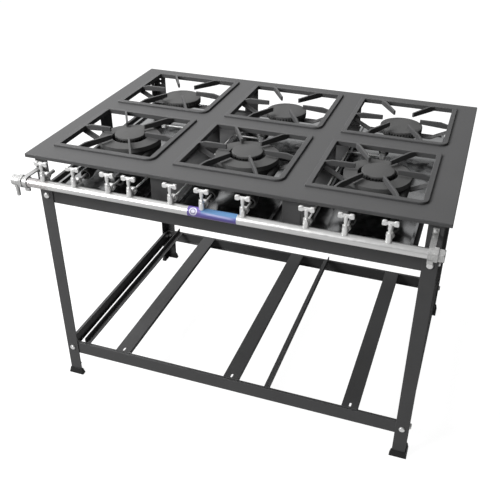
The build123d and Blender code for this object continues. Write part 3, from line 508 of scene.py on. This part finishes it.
# Gas rail: a one-inch drawn steel pipe along the front, closed by a hexagon cap at the right
# and a hose fitting at the left, strapped to the front legs; its left end is dull and stained.
stain_end = -0.452
drawn_steel = bright_metal(
    "drawn_steel", dull=(0.66, 0.66, 0.66), bright=(0.82, 0.82, 0.81), rough=(0.3, 0.42),
    stretch=(3.0, 260.0, 260.0), lines_depth=0.00002,
)
eased("gas_rail", drawn_steel)
tree = drawn_steel.node_tree
shader = tree.nodes["Principled BSDF"]
clean_tone = shader.inputs["Base Color"].links[0].from_socket
clean_gloss = shader.inputs["Roughness"].links[0].from_socket
spot = add_node(tree, "ShaderNodeTexCoord")
split = add_node(tree, "ShaderNodeSeparateXYZ")
stain = slope(tree, stain_end, stain_end - 0.003)
scale_marks = add_node(tree, "ShaderNodeTexNoise", {"Scale": 160.0, "Detail": 5.0, "Roughness": 0.7})
marked = add_node(tree, "ShaderNodeValToRGB")
marked.color_ramp.elements[0].color = (0.36, 0.34, 0.335, 1)
marked.color_ramp.elements[0].position = 0.36
marked.color_ramp.elements[1].color = (0.68, 0.66, 0.655, 1)
marked.color_ramp.elements[1].position = 0.56
tinted = add_node(tree, "ShaderNodeMix", data_type="RGBA")
duller = add_node(tree, "ShaderNodeMix", {3: 0.5}, data_type="FLOAT")
tree.links.new(spot.outputs["Object"], split.inputs[0])
tree.links.new(split.outputs["X"], stain.inputs["Value"])
tree.links.new(spot.outputs["Object"], scale_marks.inputs["Vector"])
tree.links.new(scale_marks.outputs["Fac"], marked.inputs["Fac"])
tree.links.new(stain.outputs["Result"], tinted.inputs[0])
tree.links.new(clean_tone, tinted.inputs[first_colour])
tree.links.new(marked.outputs["Color"], tinted.inputs[second_colour])
tree.links.new(tinted.outputs[mixed_colour], shader.inputs["Base Color"])
tree.links.new(stain.outputs["Result"], duller.inputs[0])
tree.links.new(clean_gloss, duller.inputs[2])
tree.links.new(duller.outputs[0], shader.inputs["Roughness"])
dull_zinc = bright_metal(
    "dull_zinc", dull=(0.4, 0.4, 0.4), bright=(0.62, 0.62, 0.61), rough=(0.3, 0.46),
    stretch=(300.0, 300.0, 120.0), lines_depth=0.00006, metallic=0.6,
)
for node in ("gas_inlet_fitting", "rail_end_cap", "rail_lock_nuts", "rail_brackets"):
    eased(node, dull_zinc)


# Label: a thin printed foil on the front of the gas rail, blue above and violet below,
# with a pale disc, a plain ring on it and a pale stripe beside them.
def select_faces(piece, chosen):
    """Leaves a piece in edit mode with just those faces selected whose normal passes a test."""
    bpy.ops.object.mode_set(mode="EDIT")
    bpy.ops.mesh.select_mode(type="FACE")
    bpy.ops.mesh.select_all(action="DESELECT")
    bpy.ops.object.mode_set(mode="OBJECT")
    for face in piece.data.polygons:
        face.select = chosen(face.normal)
    bpy.ops.object.mode_set(mode="EDIT")


rail_low, rail_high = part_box("gas_rail")
rail_y = (rail_low[1] + rail_high[1]) / 2
rail_z = (rail_low[2] + rail_high[2]) / 2
rail_radius = (rail_high[2] - rail_low[2]) / 2
label_left, label_right = -0.0565, 0.0715
label_tilt, label_wrap = radians(25), radians(82)
foil = 0.00025
disc_radius, ring_radius = 0.0105, 0.0062
disc_inset, disc_lift = 0.0155, radians(32)
print_edge = 0.0003
bpy.ops.object.select_all(action="DESELECT")
bpy.ops.mesh.primitive_cylinder_add(
    vertices=64, radius=rail_radius + foil, depth=label_right - label_left, end_fill_type="NOTHING",
    location=((label_left + label_right) / 2, rail_y, rail_z), rotation=(0, radians(90), 0),
)
label = bpy.context.object
label.name = "rail_label"
bpy.ops.object.transform_apply(location=True, rotation=True, scale=True)
facing = Vector((0, -cos(label_tilt), sin(label_tilt)))
select_faces(label, lambda normal: normal.dot(facing) < cos(label_wrap))
bpy.ops.mesh.delete(type="FACE")
bpy.ops.object.mode_set(mode="OBJECT")
wall = label.modifiers.new("foil", "SOLIDIFY")
wall.thickness = foil
wall.offset = -1
bpy.ops.object.modifier_apply(modifier=wall.name)
bpy.ops.object.shade_smooth_by_angle(angle=radians(40))
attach(label, "stand")
print_foil = bpy.data.materials.new("label_print")
print_foil.use_nodes = True
tree = print_foil.node_tree
shader = tree.nodes["Principled BSDF"]
shader.inputs["Coat Weight"].default_value = 0.3
spot = add_node(tree, "ShaderNodeTexCoord")
split = add_node(tree, "ShaderNodeSeparateXYZ")
across = slope(tree, rail_z - rail_radius, rail_z + rail_radius)
along = slope(tree, label_left, label_right)
ink = add_node(tree, "ShaderNodeValToRGB")
ink.color_ramp.elements[0].color = (0.085, 0.05, 0.27, 1)
ink.color_ramp.elements[0].position = 0.35
ink.color_ramp.elements[1].color = (0.07, 0.18, 0.36, 1)
ink.color_ramp.elements[1].position = 0.98
middle = ink.color_ramp.elements.new(0.7)
middle.color = (0.13, 0.15, 0.42, 1)
upper = ink.color_ramp.elements.new(0.86)
upper.color = (0.1, 0.23, 0.43, 1)
field = slope(tree, 0.26, 0.3)
violet = add_node(tree, "ShaderNodeMix", data_type="RGBA")
violet.inputs[first_colour].default_value = (0.12, 0.08, 0.32, 1)
rise = add_node(tree, "ShaderNodeMath", {1: -0.14, 2: 0.78}, operation="MULTIPLY_ADD")
height = add_node(tree, "ShaderNodeMath", operation="SUBTRACT")
offset = add_node(tree, "ShaderNodeMath", operation="ABSOLUTE")
stripe = slope(tree, 0.13, 0.03, 0.0, 0.55)
begun = slope(tree, 0.3, 0.45)
ended = slope(tree, 0.97, 0.86)
bounded = add_node(tree, "ShaderNodeMath", operation="MULTIPLY")
stripe_mask = add_node(tree, "ShaderNodeMath", operation="MULTIPLY")
striped = add_node(tree, "ShaderNodeMix", data_type="RGBA")
striped.inputs[second_colour].default_value = (0.55, 0.56, 0.8, 1)
disc_y = rail_y - rail_radius * cos(disc_lift)
disc_z = rail_z + rail_radius * sin(disc_lift)
disc_centre = (label_left + disc_inset, disc_y, disc_z)
reach = add_node(tree, "ShaderNodeVectorMath", {1: disc_centre}, operation="DISTANCE")
disc = slope(tree, disc_radius + print_edge, disc_radius - print_edge)
ring = add_node(tree, "ShaderNodeMath", {1: ring_radius}, operation="SUBTRACT")
ring_off = add_node(tree, "ShaderNodeMath", operation="ABSOLUTE")
ring_line = slope(tree, 0.0013, 0.0009)
pale = add_node(tree, "ShaderNodeMix", data_type="RGBA")
pale.inputs[first_colour].default_value = (0.6, 0.6, 0.68, 1)
pale.inputs[second_colour].default_value = (0.16, 0.14, 0.3, 1)
roundel = add_node(tree, "ShaderNodeMix", data_type="RGBA")
speck = add_node(tree, "ShaderNodeTexNoise", {"Scale": 300.0, "Detail": 3.0})
gloss = slope(tree, 0.0, 1.0, 0.22, 0.4)
tree.links.new(spot.outputs["Object"], split.inputs[0])
tree.links.new(split.outputs["X"], along.inputs["Value"])
tree.links.new(split.outputs["Z"], across.inputs["Value"])
tree.links.new(across.outputs["Result"], ink.inputs["Fac"])
tree.links.new(along.outputs["Result"], field.inputs["Value"])
tree.links.new(field.outputs["Result"], violet.inputs[0])
tree.links.new(ink.outputs["Color"], violet.inputs[second_colour])
tree.links.new(along.outputs["Result"], rise.inputs[0])
tree.links.new(across.outputs["Result"], height.inputs[0])
tree.links.new(rise.outputs[0], height.inputs[1])
tree.links.new(height.outputs[0], offset.inputs[0])
tree.links.new(offset.outputs[0], stripe.inputs["Value"])
tree.links.new(along.outputs["Result"], begun.inputs["Value"])
tree.links.new(along.outputs["Result"], ended.inputs["Value"])
tree.links.new(begun.outputs["Result"], bounded.inputs[0])
tree.links.new(ended.outputs["Result"], bounded.inputs[1])
tree.links.new(stripe.outputs["Result"], stripe_mask.inputs[0])
tree.links.new(bounded.outputs[0], stripe_mask.inputs[1])
tree.links.new(stripe_mask.outputs[0], striped.inputs[0])
tree.links.new(violet.outputs[mixed_colour], striped.inputs[first_colour])
tree.links.new(spot.outputs["Object"], reach.inputs[0])
tree.links.new(reach.outputs["Value"], disc.inputs["Value"])
tree.links.new(reach.outputs["Value"], ring.inputs[0])
tree.links.new(ring.outputs[0], ring_off.inputs[0])
tree.links.new(ring_off.outputs[0], ring_line.inputs["Value"])
tree.links.new(ring_line.outputs["Result"], pale.inputs[0])
tree.links.new(pale.outputs[mixed_colour], roundel.inputs[second_colour])
tree.links.new(disc.outputs["Result"], roundel.inputs[0])
tree.links.new(striped.outputs[mixed_colour], roundel.inputs[first_colour])
tree.links.new(roundel.outputs[mixed_colour], shader.inputs["Base Color"])
tree.links.new(spot.outputs["Object"], speck.inputs["Vector"])
tree.links.new(speck.outputs["Fac"], gloss.inputs["Value"])
tree.links.new(gloss.outputs["Result"], shader.inputs["Roughness"])
label.data.materials.append(print_foil)


# Taps: ten small plug taps screwed into the rail, zinc-plated, each with a cast plug and
# a two-lobed handle that turns on top.
eased("tap_bodies", zinc_plate)
for number in range(1, 11):
    eased(f"tap_handle_{number:02d}", zinc_plate)


# Injectors and feeds: small hexagon nozzles into the mixing tubes, three thin steel pipes
# to the rear burners and one hose tail for the oven.
for node in ("injectors", "oven_hose_tail"):
    eased(node, zinc_plate)
# The feed pipes get a pale, partly matt colour: a painted reflection of the bright room on pipes that
# lie in the plate's shade.
feed_steel_painted_sheen = bright_metal(
    "feed_steel_painted_sheen", dull=(0.78, 0.78, 0.78), bright=(0.92, 0.92, 0.91), rough=(0.3, 0.42),
    stretch=(260.0, 3.0, 260.0), lines_depth=0.00002, metallic=0.4,
)
eased("rear_feed_pipes", feed_steel_painted_sheen)


# Union nuts: ten zinc-plated hexagon nuts that draw each nozzle or feed pipe against its
# tap; cut from bar, with a small step at both ends and softly chamfered corners.
nut_flats, nut_length = 0.018, 0.008
step_width, step_length = 0.0012, 0.0015
outlet_low, outlet_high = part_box("oven_hose_tail")
outlet_y = outlet_low[1]
outlet_z = (outlet_low[2] + outlet_high[2]) / 2
bpy.ops.object.select_all(action="DESELECT")
bpy.ops.mesh.primitive_cylinder_add(
    vertices=6, radius=nut_flats / 2 / cos(radians(30)), depth=nut_length,
    location=(0, outlet_y + nut_length / 2, outlet_z), rotation=(radians(90), radians(30), 0),
)
first_nut = bpy.context.object
first_nut.name = "union_nut_01"
bpy.ops.object.transform_apply(location=True, rotation=True, scale=True)
select_faces(first_nut, lambda normal: abs(normal.y) > 0.9)
bpy.ops.mesh.inset(thickness=step_width, use_individual=True)
bpy.ops.mesh.extrude_faces_move(TRANSFORM_OT_shrink_fatten={"value": step_length})
bpy.ops.object.mode_set(mode="OBJECT")
chamfer = first_nut.modifiers.new("chamfer", "BEVEL")
chamfer.width = 0.0006
chamfer.segments = 3
bpy.ops.object.modifier_apply(modifier=chamfer.name)
bpy.ops.object.shade_smooth_by_angle(angle=radians(35))
first_nut.data.materials.append(zinc_plate)
union_nuts = [first_nut]
for number in range(2, 11):
    nut = first_nut.copy()
    nut.data = first_nut.data.copy()
    nut.name = f"union_nut_{number:02d}"
    bpy.context.scene.collection.objects.link(nut)
    union_nuts.append(nut)
for number, nut in enumerate(union_nuts, start=1):
    stem_low, stem_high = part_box(f"tap_handle_{number:02d}")
    nut.data.transform(Matrix.Translation(((stem_low[0] + stem_high[0]) / 2, 0, 0)))
    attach(nut, "stand")
